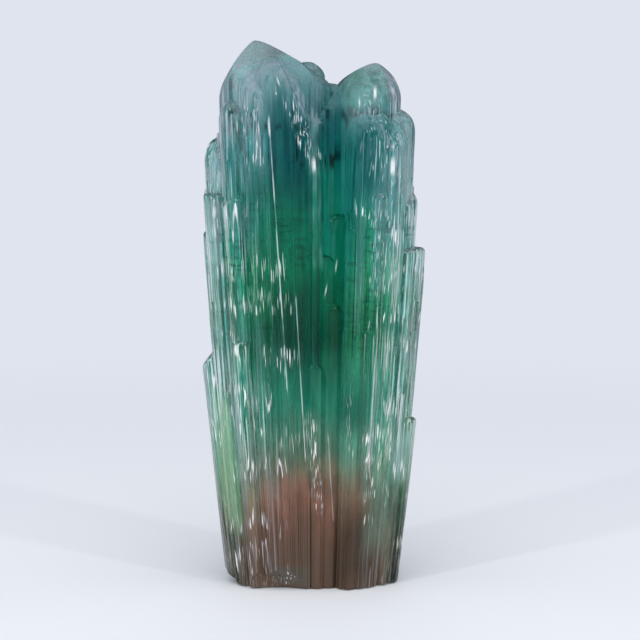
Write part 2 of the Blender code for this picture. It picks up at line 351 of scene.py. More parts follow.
class StemCarver:
    """Makes the closed mesh of one stem, with its ridges, fine lines and worn tip.

    Attributes:
        plan: The ground plan.
        shape: The cross-section.
        lines: Sizes of ridges and lines.
    """

    SMALL = 4.0
    BROAD_LEVELS = (0.0, 0.35, 0.7, 1.0)
    FINE_LEVELS = (0.0, 0.0, 0.25, 0.5, 0.8, 1.0)
    FINE_RUNS = (1, 1, 2, 2, 3)
    FINE_STRETCH = (2, 9)
    WANDER = 0.4
    WANDER_ROWS = 5
    LEVEL_SPREAD = 0.4
    FEWEST_LEVELS = 4
    FEWEST_POINTS = 2
    TIP_RINGS = (0.996, 0.985, 0.965, 0.935, 0.89, 0.83, 0.76, 0.67, 0.57, 0.46, 0.35, 0.24, 0.13, 0.05)
    SMALL_TIP_RINGS = (0.98, 0.92, 0.8, 0.62, 0.4, 0.2)
    SHOULDER_POWER = 6

    def __init__(self, plan: Plan, shape: PrismShape, lines: Striation) -> None:
        """Keeps the sizes.

        Args:
            plan: The ground plan.
            shape: The cross-section.
            lines: Sizes of ridges and lines.
        """
        self.plan = plan
        self.shape = shape
        self.lines = lines

    def broad_sides(self, stem: Stem) -> int:
        """Number of broad ridges round a stem."""
        around = math.pi * (stem.half_width + stem.half_depth)
        return max(self.lines.fewest, min(self.lines.most, round(around / self.lines.ridge_width)))

    def outline(self, stem: Stem, rows: int) -> np.ndarray:
        """Outline of a stem at each level, with broad ridges that wander a little on the way up.

        Args:
            stem: The stem.
            rows: Number of levels.

        Returns:
            Points from the stem's centre, in millimetres: level by point by two.
        """
        count = self.broad_sides(stem)
        seeded = random.Random(stem.name)
        deepest = min(self.lines.ridge_depth, self.lines.ridge_share * stem.half_width)
        offsets = np.array([deepest * seeded.choice(self.BROAD_LEVELS) for _ in range(count)])
        knots = rows // self.WANDER_ROWS + 2
        wander = np.array([[seeded.uniform(-1, 1) for _ in range(count)] for _ in range(knots)])
        at = np.arange(rows) / self.WANDER_ROWS
        low = at.astype(int)
        share = (at - low)[:, None]
        offsets = offsets + deepest * self.WANDER * (wander[low] * (1 - share) + wander[low + 1] * share)
        angle = np.arange(count) * math.tau / count
        radius = self.shape.radius(angle)
        corners = np.stack([
            (stem.half_width * radius - offsets) * np.cos(angle),
            (stem.half_depth * radius - offsets) * np.sin(angle),
        ], axis=-1)
        around = np.linalg.norm(np.roll(corners[0], -1, axis=0) - corners[0], axis=1).sum()
        split = max(self.FEWEST_POINTS, round(around / count / self.lines.line_width))
        share = (np.arange(split) / split)[None, None, :, None]
        fine = corners[:, :, None] * (1 - share) + np.roll(corners, -1, axis=1)[:, :, None] * share
        return fine.reshape(rows, -1, 2)

    def fine_depths(self, stem: Stem, rows: int, columns: int, deepest: float) -> np.ndarray:
        """Depth of the fine lines: flat-topped runs that change now and then along the stem.

        Args:
            stem: The stem, whose name seeds the lines.
            rows: Number of levels.
            columns: Number of points round the stem.
            deepest: Depth of the deepest line, in millimetres.

        Returns:
            A depth for each level and point, in millimetres.
        """
        seeded = random.Random(stem.name + "_lines")
        depths = np.zeros((rows, columns))
        column = 0
        while column < columns:
            run = seeded.choice(self.FINE_RUNS)
            row = 0
            while row < rows:
                stretch = seeded.randint(*self.FINE_STRETCH)
                depths[row:row + stretch, column:column + run] = deepest * seeded.choice(self.FINE_LEVELS)
                row += stretch
            column += run
        return depths

    def mesh(self, stem: Stem) -> bpy.types.Mesh:
        """Builds the closed mesh of a stem.

        Args:
            stem: The stem.

        Returns:
            The mesh, in metres.
        """
        small = stem.half_width < self.SMALL
        rings = self.SMALL_TIP_RINGS if small else self.TIP_RINGS
        levels = max(self.FEWEST_LEVELS, round(stem.top / self.lines.level_step))
        share = np.array([1.0] * (levels + 1) + list(rings))[:, None]
        level = np.array(list(np.linspace(0, 1, levels + 1)) + [1.0] * len(rings))[:, None]
        rows = len(share)
        outline = self.outline(stem, rows)
        inward = -outline / np.linalg.norm(outline, axis=2, keepdims=True)
        columns = outline.shape[1]
        deepest = min(self.lines.line_depth, self.lines.ridge_share * stem.half_width)
        depth = self.fine_depths(stem, rows, columns, deepest)
        rim_x = stem.x + outline[:, :, 0] + depth * inward[:, :, 0]
        rim_y = stem.y + outline[:, :, 1] + depth * inward[:, :, 1]
        x = stem.apex_x + share * (rim_x - stem.apex_x)
        y = stem.apex_y + share * (rim_y - stem.apex_y)
        fall = stem.roof.drop(x - stem.apex_x, y - stem.apex_y, self.lines.tip_radius)
        rounded = 1.0 - np.sqrt(1.0 - share**self.SHOULDER_POWER)
        top = stem.top - fall - (stem.shoulder + self.lines.wear) * rounded
        z = -self.plan.buried + level * (top + self.plan.buried)
        drawn = np.random.default_rng(len(stem.name) + columns)
        spread = drawn.uniform(-self.LEVEL_SPREAD, self.LEVEL_SPREAD, (rows, columns))
        inner = (np.arange(rows) > 0) & (np.arange(rows) < levels)
        z = z + spread * self.lines.level_step * inner[:, None]
        points = self.plan.narrowed(x, y, z).reshape(-1, 3)
        apex = self.plan.narrowed(np.array(stem.apex_x), np.array(stem.apex_y), np.array(stem.top))
        points = np.vstack([points, apex[None, :]])
        mesh = bpy.data.meshes.new(stem.name)
        mesh.from_pydata(points.tolist(), [], self.faces(rows, columns))
        return mesh

    @staticmethod
    def faces(rows: int, columns: int) -> list[tuple[int, ...]]:
        """Faces of a stem: its foot, its sides and tip rings, and the fan round its apex.

        Args:
            rows: Number of rings of points.
            columns: Number of points in a ring.

        Returns:
            Corner numbers of each face.
        """
        faces: list[tuple[int, ...]] = [tuple(reversed(range(columns)))]
        for row in range(rows - 1):
            for column in range(columns):
                a = row * columns + column
                b = row * columns + (column + 1) % columns
                faces.append((a, b, b + columns, a + columns))
        last = (rows - 1) * columns
        faces += [(last + k, last + (k + 1) % columns, rows * columns) for k in range(columns)]
        return faces


@dataclass
class CrystalBundle:
    """The whole crystal: stems grown together, cut flat and chipped at the base.

    Attributes:
        plan: The ground plan.
        shape: The cross-section of a stem.
        lines: Sizes of ridges and lines.
    """

    plan: Plan
    shape: PrismShape
    lines: Striation

    CHIPS = (
        ((-8.0, -20.8, -4.4), 13.4, (1.2, 1.0, 1.0)),
        ((10.0, -21.0, -7.6), 12.0, (1.2, 1.0, 1.0)),
        ((-21.5, 2.0, -5.4), 8.4, (1.0, 1.6, 1.0)),
        ((22.0, 6.0, -6.8), 9.6, (1.0, 1.4, 1.0)),
        ((4.0, 20.6, -6.6), 12.4, (1.6, 1.0, 1.0)),
    )
    CHIP_ROUGHNESS = 0.05
    CHIP_FINENESS = 3
    CHIP_SEED = 4
    THIN_PLACE = (0.2, 0.8)
    THIN_ROUNDNESS = (0.8, 1.2)
    THIN_SHOULDER = 0.5
    THIN_ROOFS = (Roof.DOME, Roof.SLANTS_LEFT, Roof.SLANTS_RIGHT, Roof.PYRAMID)
    SHARP_FROM = math.radians(19)

    def thin_stems(self, groups: tuple[RodGroup, ...], cut: RodCut) -> list[Stem]:
        """Thin stems half sunk in the sides of their hosts.

        Args:
            groups: Where they grow.
            cut: How thick they are and how far they stand out.

        Returns:
            The stems.
        """
        hosts = {stem.name: stem for stem in MAIN_STEMS + FRONT_STEMS + EDGE_STEMS}
        seeded = random.Random(cut.seed)
        made = []
        for number, group in enumerate(groups):
            host = hosts[group.host]
            for k in range(group.count):
                share = (k + seeded.uniform(*self.THIN_PLACE)) / group.count
                angle = math.radians(group.compass[0] + share * (group.compass[1] - group.compass[0]))
                half = seeded.uniform(*cut.half_width)
                sunk = 1.0 - (half * (1.0 - seeded.uniform(*cut.proud))) / host.half_width
                reach = float(self.shape.radius(np.array([angle]))[0]) * sunk
                x = host.x + host.half_width * reach * math.cos(angle)
                y = host.y + host.half_depth * reach * math.sin(angle)
                top = seeded.uniform(*group.heights)
                roof = seeded.choice(self.THIN_ROOFS)
                deep = half * seeded.uniform(*self.THIN_ROUNDNESS)
                name = f"{cut.prefix}_{number}_{k}"
                made.append(Stem(name, x, y, half, deep, top, x, y, roof, half * self.THIN_SHOULDER))
        return made

    def chip_mesh(self, number: int) -> bpy.types.Mesh:
        """A rough ball that bites a piece out of the rim of the base.

        Args:
            number: Which of the chips it is.

        Returns:
            Its mesh, in metres.
        """
        centre, radius, stretch = self.CHIPS[number]
        bm = bmesh.new()
        bmesh.ops.create_icosphere(bm, subdivisions=self.CHIP_FINENESS, radius=radius * MM)
        seeded = random.Random(self.CHIP_SEED + number)
        for vert in bm.verts:
            vert.co *= 1.0 + seeded.uniform(-self.CHIP_ROUGHNESS, self.CHIP_ROUGHNESS)
            vert.co = Vector(a * b for a, b in zip(vert.co, stretch)) + Vector(centre) * MM
        mesh = bpy.data.meshes.new(f"chip_{number}")
        bm.to_mesh(mesh)
        bm.free()
        return mesh

    def floor_cut_mesh(self) -> bpy.types.Mesh:
        """The slab that cuts every stem off flat at the base.

        Returns:
            Its mesh, in metres.
        """
        reach = 2 * self.plan.height
        bm = bmesh.new()
        bmesh.ops.create_cube(bm, size=reach)
        bmesh.ops.translate(bm, verts=bm.verts, vec=(0, 0, -reach / 2))
        mesh = bpy.data.meshes.new("floor_cut")
        bm.to_mesh(mesh)
        bm.free()
        return mesh

    def combined(self, obj: bpy.types.Object, meshes: list[bpy.types.Mesh], operation: str) -> None:
        """Joins meshes to an object, or cuts them out of it.

        Args:
            obj: The object, whose mesh is replaced by the result.
            meshes: The closed meshes that are joined or cut out.
            operation: UNION or DIFFERENCE.
        """
        others = bpy.data.collections.new(operation.lower())
        bpy.context.scene.collection.children.link(others)
        guides = [bpy.data.objects.new(mesh.name, mesh) for mesh in meshes]
        for guide in guides:
            others.objects.link(guide)
        modifier = obj.modifiers.new(operation.lower(), "BOOLEAN")
        modifier.operation = operation
        modifier.operand_type = "COLLECTION"
        modifier.collection = others
        modifier.solver = "MANIFOLD"
        shaped = obj.evaluated_get(bpy.context.evaluated_depsgraph_get())
        result = bpy.data.meshes.new_from_object(shaped)
        obj.modifiers.remove(modifier)
        obj.data = result
        for guide in guides:
            bpy.data.objects.remove(guide, do_unlink=True)
        for mesh in meshes:
            bpy.data.meshes.remove(mesh)
        bpy.data.collections.remove(others)

    def build(self) -> bpy.types.Object:
        """Builds the crystal as one closed object.

        Returns:
            The crystal.
        """
        carver = StemCarver(self.plan, self.shape, self.lines)
        stems = list(MAIN_STEMS + FRONT_STEMS + EDGE_STEMS + FILLERS)
        stems += self.thin_stems(ROD_GROUPS, RODS)
        stems += self.thin_stems(SLIVER_GROUPS, SLIVERS)
        crystal = bpy.data.objects.new("crystal", carver.mesh(stems[0]))
        bpy.context.scene.collection.objects.link(crystal)
        self.combined(crystal, [carver.mesh(stem) for stem in stems[1:]], "UNION")
        cutters = [self.chip_mesh(number) for number in range(len(self.CHIPS))]
        self.combined(crystal, cutters + [self.floor_cut_mesh()], "DIFFERENCE")
        crystal.data.shade_smooth()
        crystal.data.set_sharp_from_angle(angle=self.SHARP_FROM)
        return crystal


class NodeSketch:
    """Adds nodes to a node tree and links them, one short call at a time."""

    def __init__(self, tree: bpy.types.NodeTree) -> None:
        """Starts on a node tree."""
        self.tree = tree

    def node(self, kind: str) -> bpy.types.Node:
        """Adds a shader node."""
        return self.tree.nodes.new("ShaderNode" + kind)

    def feed(self, target: Socket, value: SocketValue) -> None:
        """Links a socket to another, or sets its own value.

        Args:
            target: The socket that takes the value.
            value: Another socket, a number or a colour.
        """
        if isinstance(value, Socket):
            self.tree.links.new(value, target)
        else:
            target.default_value = value

    def place(self, kind: str = "Object") -> Socket:
        """Place or direction on the piece itself."""
        return self.node("TexCoord").outputs[kind]

    def split(self, vector: Socket) -> tuple[Socket, ...]:
        """The three parts of a vector.

        Args:
            vector: The vector.

        Returns:
            Its parts across, in depth and upwards.
        """
        node = self.node("SeparateXYZ")
        self.feed(node.inputs[0], vector)
        return tuple(node.outputs)

    def joined(self, *parts: SocketValue) -> Socket:
        """A vector from its three parts.

        Args:
            *parts: The parts across, in depth and upwards.

        Returns:
            The vector.
        """
        node = self.node("CombineXYZ")
        for socket, part in zip(node.inputs, parts):
            self.feed(socket, part)
        return node.outputs[0]

    def math(self, operation: str, first: SocketValue, second: SocketValue = 0.0) -> Socket:
        """One sum of two numbers.

        Args:
            operation: Name of the sum, such as ADD.
            first: The first number.
            second: The second number.

        Returns:
            The result.
        """
        node = self.node("Math")
        node.operation = operation
        self.feed(node.inputs[0], first)
        self.feed(node.inputs[1], second)
        return node.outputs[0]

    def product(self, *factors: SocketValue) -> Socket:
        """All the numbers multiplied together."""
        return reduce(lambda first, second: self.math("MULTIPLY", first, second), factors)

    def largest(self, *numbers: SocketValue) -> Socket:
        """The largest of the numbers."""
        return reduce(lambda first, second: self.math("MAXIMUM", first, second), numbers)

    def noise(self, vector: Socket, scale: Point, detail: float = 1.0, rough: float = 0.5) -> Socket:
        """Noise over a vector, from 0 to 1.

        Args:
            vector: Where the noise is read.
            scale: Cells per metre in each direction.
            detail: How many finer layers are added.
            rough: Strength of each finer layer.

        Returns:
            The noise.
        """
        stretched = self.node("VectorMath")
        stretched.operation = "MULTIPLY"
        self.feed(stretched.inputs[0], vector)
        stretched.inputs[1].default_value = scale
        node = self.node("TexNoise")
        self.feed(node.inputs["Vector"], stretched.outputs["Vector"])
        for name, number in (("Scale", 1.0), ("Detail", detail), ("Roughness", rough)):
            node.inputs[name].default_value = number
        return node.outputs["Fac"]

    def between(self, value: SocketValue, low: float, high: float, least: float = 0.0,
                most: float = 1.0) -> Socket:
        """Maps a number smoothly from one range to another.

        Args:
            value: The number.
            low: Where it starts to change.
            high: Where it stops.
            least: The result at low.
            most: The result at high.

        Returns:
            The mapped number.
        """
        node = self.node("MapRange")
        node.interpolation_type = "SMOOTHSTEP"
        for name, number in (("From Min", low), ("From Max", high), ("To Min", least), ("To Max", most)):
            node.inputs[name].default_value = number
        self.feed(node.inputs["Value"], value)
        return node.outputs["Result"]

    def zones(self, value: Socket, stops: Zones) -> Socket:
        """Colours along a number.

        Args:
            value: The number, from 0 to 1.
            stops: A share and a colour for each stop.

        Returns:
            The colour.
        """
        node = self.node("ValToRGB")
        self.feed(node.inputs[0], value)
        elements = node.color_ramp.elements
        while len(elements) < len(stops):
            elements.new(1.0)
        for element, (share, colour) in zip(elements, stops):
            element.position = share
            element.color = (*colour, 1.0)
        return node.outputs[0]

    def mixed(self, share: SocketValue, first: SocketValue, second: SocketValue,
              blend: str = "MIX") -> Socket:
        """Mixes two colours.

        Args:
            share: Share of the second colour.
            first: The first colour.
            second: The second colour.
            blend: How they are mixed.

        Returns:
            The mixed colour.
        """
        node = self.node("Mix")
        node.data_type = "RGBA"
        node.blend_type = blend
        colours = [socket for socket in node.inputs if socket.type == "RGBA"]
        self.feed(node.inputs["Factor"], share)
        self.feed(colours[0], first)
        self.feed(colours[1], second)
        return next(socket for socket in node.outputs if socket.type == "RGBA")


class GrownPlace:
    """Places on the crystal as they are before it narrows, so that a pattern follows the prisms.

    Attributes:
        x: Place across, in metres.
        y: Place in depth, in metres.
        z: Height, in metres.
        across: Place across before the narrowing, in metres.
        vector: The whole place before the narrowing.
    """

    def __init__(self, sketch: NodeSketch, plan: Plan) -> None:
        """Works the places out in a node tree.

        Args:
            sketch: The nodes.
            plan: The plan, which says how the crystal narrows.
        """
        self.x, self.y, self.z = sketch.split(sketch.place())
        gone = sketch.math("SUBTRACT", 1.0, sketch.math("DIVIDE", self.z, plan.height))
        below = sketch.math("POWER", sketch.largest(gone, 0.0), plan.curve)
        width = sketch.math("SUBTRACT", 1.0, sketch.product(below, 1.0 - plan.base_width_share))
        depth = sketch.math("SUBTRACT", 1.0, sketch.product(below, 1.0 - plan.base_depth_share))
        self.across = sketch.math("DIVIDE", self.x, width)
        self.vector = sketch.joined(self.across, sketch.math("DIVIDE", self.y, depth), self.z)

    def lifted(self, sketch: NodeSketch, lift: Socket) -> GrownPlace:
        """The same places with other heights.

        Args:
            sketch: The nodes.
            lift: How much higher each place counts, in metres.

        Returns:
            The places.
        """
        places = copy(self)
        places.z = sketch.math("ADD", self.z, lift)
        return places


@dataclass(frozen=True)
class FrontMark:
    """An upright mark on the broad front, in millimetres.

    Attributes:
        top: Place across and height of its upper end.
        foot: Place across and height of its lower end.
        half_width: Half its width.
        strength: How strong it is, from 0 to 1.
        soft: Distance over which its ends fade.
        core: Share of its half width that has its full strength.
    """

    top: tuple[float, float]
    foot: tuple[float, float]
    half_width: float
    strength: float
    soft: float = 1.2
    core: float = 0.4

    def mask(self, sketch: NodeSketch, place: GrownPlace) -> Socket:
        """Where the mark is, at the front and at the back.

        Args:
            sketch: The material's nodes.
            place: Places on the crystal.

        Returns:
            Its strength on the mark and 0 beside it.
        """
        lean = (self.top[0] - self.foot[0]) / (self.top[1] - self.foot[1])
        start = (self.foot[0] - lean * self.foot[1]) * MM
        middle = sketch.math("ADD", sketch.product(place.z, lean), start)
        away = sketch.math("ABSOLUTE", sketch.math("SUBTRACT", place.x, middle))
        low, high, soft = self.foot[1] * MM, self.top[1] * MM, self.soft * MM
        wide = self.half_width * MM
        return sketch.product(
            sketch.between(away, wide, self.core * wide, 0.0, self.strength),
            sketch.between(place.z, low - soft, low + soft),
            sketch.between(place.z, high + soft, high - soft),
        )


# A pale strip and long bright lines on the front: partly the pale face itself, partly painted highlights
# along faces and ridge edges that would catch the light.
PALE_STRIPS_AND_HIGHLIGHTS = (
    FrontMark((0.0, 108.0), (1.1, 74.0), 1.7, 0.34),
    FrontMark((-9.8, 108.0), (-5.8, 46.0), 0.2, 0.85),
    FrontMark((-3.9, 68.0), (-1.7, 30.0), 0.19, 0.75),
    FrontMark((3.4, 36.0), (4.6, 16.0), 0.20, 0.6),
)
ARCH = (
    FrontMark((-9.4, 121.0), (-16.2, 109.0), 2.6, 1.0, 1.5, 0.3),
    FrontMark((-9.0, 121.0), (0.8, 106.0), 2.8, 1.0, 1.5, 0.3),
)
# Painted glints: level rows of short bright dashes that stand in for light caught by the ridges.
PAINTED_GLINT_ROWS = (
    FrontMark((-10.0, 75.6), (-10.0, 72.8), 4.6, 0.8, 0.6, 0.7),
    FrontMark((-12.0, 67.6), (-12.0, 65.4), 9.6, 0.8, 0.6, 0.6),
    FrontMark((-7.4, 54.6), (-7.4, 52.2), 4.6, 1.0, 0.5, 0.7),
    FrontMark((-17.8, 47.8), (-17.8, 45.6), 3.6, 0.9, 0.6, 0.7),
    FrontMark((-20.2, 84.4), (-20.2, 81.8), 3.2, 0.9, 0.6, 0.7),
    FrontMark((-19.0, 75.4), (-19.0, 72.6), 3.6, 0.8, 0.6, 0.7),
    FrontMark((-18.4, 42.8), (-18.4, 40.2), 2.6, 0.8, 0.6, 0.7),
    FrontMark((-15.6, 27.8), (-15.6, 25.8), 3.6, 1.0, 0.5, 0.7),
    FrontMark((-3.6, 36.0), (-3.6, 33.8), 5.2, 0.7, 0.6, 0.6),
    FrontMark((17.2, 42.8), (17.2, 40.0), 2.6, 1.0, 0.6, 0.7),
    FrontMark((16.2, 36.0), (16.2, 33.8), 2.8, 0.9, 0.6, 0.7),
    FrontMark((16.6, 31.2), (16.6, 29.4), 2.4, 0.9, 0.5, 0.7),
    FrontMark((19.8, 28.2), (19.8, 25.4), 1.7, 1.0, 0.6, 0.7),
    FrontMark((14.6, 23.8), (14.6, 21.8), 3.4, 0.9, 0.5, 0.7),
    FrontMark((18.4, 77.0), (18.4, 63.0), 1.5, 0.8, 1.0, 0.6),
    FrontMark((15.8, 59.0), (15.8, 50.0), 3.0, 0.6, 1.0, 0.6),
)
# Painted glints: patches of short bright dashes that stand in for light caught by the ridges.
PAINTED_GLINT_FIELDS = (
    FrontMark((-14.5, 111.0), (-13.0, 96.0), 3.2, 0.8, 2.0, 0.5),
    FrontMark((-5.0, 112.0), (0.6, 97.0), 2.8, 0.9, 2.0, 0.5),
    FrontMark((16.5, 104.0), (17.5, 88.0), 3.4, 0.7, 2.0, 0.5),
    FrontMark((-21.2, 97.0), (-21.5, 84.0), 2.6, 0.7, 2.0, 0.5),
    FrontMark((15.6, 90.0), (16.6, 66.0), 4.0, 0.6, 2.0, 0.5),
    FrontMark((-17.6, 61.0), (-16.6, 51.0), 2.4, 0.7, 2.0, 0.5),
    FrontMark((8.4, 45.0), (8.4, 30.0), 1.0, 0.9, 1.5, 0.5),
    FrontMark((-0.8, 41.0), (1.4, 17.0), 1.8, 0.9, 2.0, 0.4),
    FrontMark((14.2, 42.0), (12.4, 20.0), 1.4, 0.7, 2.0, 0.5),
)
# Painted glints: bright spots where the ridges would reflect a light, painted pale into the surface colour.
PAINTED_GLINTS = (
    FrontMark((0.1, 98.6), (0.2, 95.4), 0.7, 0.9),
    FrontMark((17.9, 98.4), (17.8, 94.8), 0.75, 0.9),
    FrontMark((-22.2, 87.8), (-22.3, 84.8), 0.6, 0.8),
    FrontMark((-9.9, 107.2), (-9.6, 103.4), 0.32, 0.8),
    FrontMark((14.0, 114.4), (13.9, 111.6), 0.5, 0.9),
    FrontMark((10.4, 112.0), (10.4, 109.8), 0.28, 0.8),
    FrontMark((-8.0, 116.4), (-7.4, 114.6), 0.3, 0.8),
    FrontMark((-12.2, 106.6), (-12.0, 103.6), 0.22, 0.8),
    FrontMark((-3.4, 103.4), (-3.2, 101.4), 0.24, 0.8),
    FrontMark((-17.0, 107.0), (-16.9, 104.4), 0.2, 0.7),
    FrontMark((5.4, 75.4), (5.1, 73.0), 0.24, 0.9),
    FrontMark((3.1, 69.8), (2.7, 67.6), 0.24, 0.8),
)


@dataclass(frozen=True)
class ShadeAndTone:
    """A patch over the colour: the dark ones are painted shade, the rest give the crystal's own colour, and
    pale ones near the rims partly paint the light through thin edges.

    Attributes:
        mark: Where it is.
        colour: Its colour.
        solid: How much light it scatters by itself, from 0 to 1.
    """

    mark: FrontMark
    colour: Colour
    solid: float = 0.0


# The first five and the dark one at the right of the foot are painted shade: under the arch, in the groove,
# below the right peak and across the middle. The pale ones near the rims partly paint the light through thin
# edges, and the rest are the crystal's own colour.
SHADES_AND_TONES = (
    ShadeAndTone(FrontMark((-5.8, 108.5), (-4.4, 90.0), 6.2, 0.85, 4.5, 0.2), (0.008, 0.13, 0.15)),
    ShadeAndTone(FrontMark((4.7, 110.0), (4.8, 97.0), 3.3, 0.85, 2.5, 0.3), (0.008, 0.12, 0.14)),
    ShadeAndTone(FrontMark((12.4, 108.0), (12.0, 90.0), 5.5, 0.8, 5.0, 0.2), (0.008, 0.17, 0.18)),
    ShadeAndTone(FrontMark((-0.8, 66.0), (-0.8, 54.0), 11.0, 0.6, 6.0, 0.3), (0.008, 0.09, 0.055)),
    ShadeAndTone(FrontMark((8.6, 46.0), (8.2, 37.0), 5.5, 0.8, 4.0, 0.3), (0.020, 0.17, 0.10)),
    ShadeAndTone(FrontMark((11.8, 119.0), (11.4, 109.5), 7.0, 0.7, 1.5, 0.5), (0.16, 0.50, 0.42), 0.5),
    ShadeAndTone(FrontMark((10.5, 19.0), (9.5, 0.0), 9.0, 0.75, 6.0, 0.2), (0.050, 0.038, 0.024)),
    ShadeAndTone(FrontMark((16.6, 27.0), (14.0, 10.0), 4.5, 0.5, 5.0, 0.2), (0.30, 0.46, 0.31), 0.3),
    ShadeAndTone(FrontMark((-4.0, 16.0), (-4.0, 0.0), 11.0, 0.4, 6.0, 0.2), (0.135, 0.086, 0.062)),
    ShadeAndTone(FrontMark((-5.4, 5.4), (-4.4, 0.6), 5.6, 0.5, 1.0, 0.6), (0.125, 0.125, 0.105), 0.25),
    ShadeAndTone(FrontMark((-21.0, 44.0), (-18.0, 13.0), 2.8, 0.75, 3.0, 0.3), (0.56, 0.90, 0.50), 0.42),
    ShadeAndTone(FrontMark((-22.8, 74.0), (-22.0, 56.0), 2.4, 0.5, 2.0, 0.4), (0.56, 0.76, 0.72), 0.4),
    ShadeAndTone(FrontMark((21.0, 36.5), (19.4, 24.0), 3.4, 0.75, 3.0, 0.2), (0.60, 0.86, 0.82), 0.35),
    ShadeAndTone(FrontMark((-22.4, 89.0), (-22.6, 74.0), 2.6, 0.6, 1.5, 0.4), (0.60, 0.74, 0.78), 0.5),
    ShadeAndTone(FrontMark((-21.6, 101.0), (-22.6, 91.0), 2.4, 0.6, 1.5, 0.4), (0.50, 0.72, 0.74), 0.5),
    ShadeAndTone(FrontMark((20.2, 108.0), (21.2, 93.0), 2.4, 0.5, 1.5, 0.4), (0.52, 0.72, 0.75), 0.5),
    ShadeAndTone(FrontMark((16.6, 93.0), (16.8, 68.0), 5.0, 0.42, 3.0, 0.3), (0.60, 0.62, 0.74), 0.35),
    ShadeAndTone(FrontMark((-15.6, 108.0), (-16.2, 93.0), 3.0, 0.4, 3.0, 0.3), (0.30, 0.66, 0.66), 0.35),
)


@dataclass(frozen=True)
class TourmalineFinish:
    """The clear green of the crystal, with its zones of colour, bloom, fine lines and hairline cracks;
    painted shade, highlights and glints lie among its marks.

    Attributes:
        plan: The plan of the crystal, which the patterns follow.
        ior: Index of refraction.
        deep: Colour that deep crystal turns light to.
        density: Strength of that, per metre.
        heart_at: Middle of the darker heart, across, in metres; its darkness partly paints the shade inside
            thick crystal.
        heart: Colours of the heart, from the base up.
        body: Colours between the heart and the rims.
        rim: Colours of the thin side rims, paler partly as painted light through the thin edges.
        milk_colours: Colours of the milky tips.
        emerald: Colour of the bright column beside the dark groove.
        emerald_at: Middle of that column, across, in metres.
        busy: How many lines and painted glints there are across the front, from left to right.
        bloom_colour: Colour of the frosted bloom, a bluish grey that partly paints the sheen of the
            surroundings on rough faces.
        smoke_colour: Colour of the smoky foot.
        line_and_highlight_colour: Colour of the fine pale lines, which partly paint highlights along the
            ridge edges.
        painted_glint_colour: Colour of the painted glints.
        crack_colour: Colour of the hairline cracks.
        relief_height: Height of the relief too fine for the mesh, in metres.
        relief_lines: Strength of its fine lines beside its swells.
        roughness: Roughness of the bare surface and of the bloom.
        specular_tint: Strength of the mirror gleam.
        coat: Weight, roughness and index of refraction of the gloss on top.
        clear_shades_and_tones: How far the patches of painted shade and own colour keep the bloom away.
        solid: How much light bloom, lines, painted glints, milk and smoke scatter by themselves.
    """

    plan: Plan
    ior: float = 1.63
    deep: Colour = (0.25, 0.82, 0.80)
    density: float = 100.0
    heart_at: float = -0.002
    heart: Zones = (
        (0.02, (0.50, 0.20, 0.14)),
        (0.20, (0.80, 0.28, 0.19)),
        (0.26, (0.76, 0.45, 0.29)),
        (0.34, (0.17, 0.44, 0.26)),
        (0.45, (0.020, 0.085, 0.035)),
        (0.58, (0.023, 0.28, 0.12)),
        (0.70, (0.015, 0.30, 0.17)),
        (0.80, (0.020, 0.14, 0.13)),
        (0.90, (0.09, 0.22, 0.22)),
        (0.97, (0.50, 0.62, 0.60)),
    )
    body: Zones = (
        (0.02, (0.45, 0.22, 0.15)),
        (0.16, (0.85, 0.36, 0.23)),
        (0.24, (0.95, 0.56, 0.38)),
        (0.34, (0.34, 0.56, 0.34)),
        (0.46, (0.13, 0.40, 0.16)),
        (0.58, (0.09, 0.54, 0.20)),
        (0.68, (0.09, 0.48, 0.30)),
        (0.80, (0.38, 0.52, 0.50)),
        (0.94, (0.70, 0.74, 0.73)),
    )
    rim: Zones = (
        (0.02, (0.42, 0.30, 0.20)),
        (0.12, (0.56, 0.46, 0.29)),
        (0.21, (0.80, 0.88, 0.52)),
        (0.32, (0.86, 0.90, 0.68)),
        (0.55, (0.84, 0.90, 0.76)),
        (0.75, (0.80, 0.86, 0.85)),
        (0.95, (0.80, 0.86, 0.85)),
    )
    milk_colours: Zones = (
        (0.55, (0.06, 0.38, 0.26)),
        (0.78, (0.10, 0.34, 0.36)),
        (0.88, (0.28, 0.48, 0.52)),
        (0.97, (0.42, 0.62, 0.64)),
    )
    emerald: Colour = (0.015, 0.36, 0.22)
    emerald_at: float = 0.0062
    busy: tuple[tuple[float, float], ...] = (
        (0.00, 1.00), (0.18, 0.90), (0.28, 0.55), (0.35, 0.11),
        (0.49, 0.13), (0.57, 0.04), (0.67, 0.08), (0.74, 0.92),
    )
    bloom_colour: Colour = (0.47, 0.51, 0.59)
    smoke_colour: Colour = (0.145, 0.088, 0.058)
    line_and_highlight_colour: Colour = (0.82, 0.90, 0.91)
    painted_glint_colour: Colour = (0.93, 0.90, 0.91)
    crack_colour: Colour = (0.01, 0.06, 0.045)
    relief_height: float = 0.0002
    relief_lines: float = 0.3
    roughness: tuple[float, float] = (0.22, 0.5)
    specular_tint: float = 0.1
    coat: tuple[float, float, float] = (0.12, 0.05, 1.5)
    clear_shades_and_tones: float = 0.85
    solid: tuple[float, ...] = (0.5, 0.7, 0.9, 0.55, 0.76)


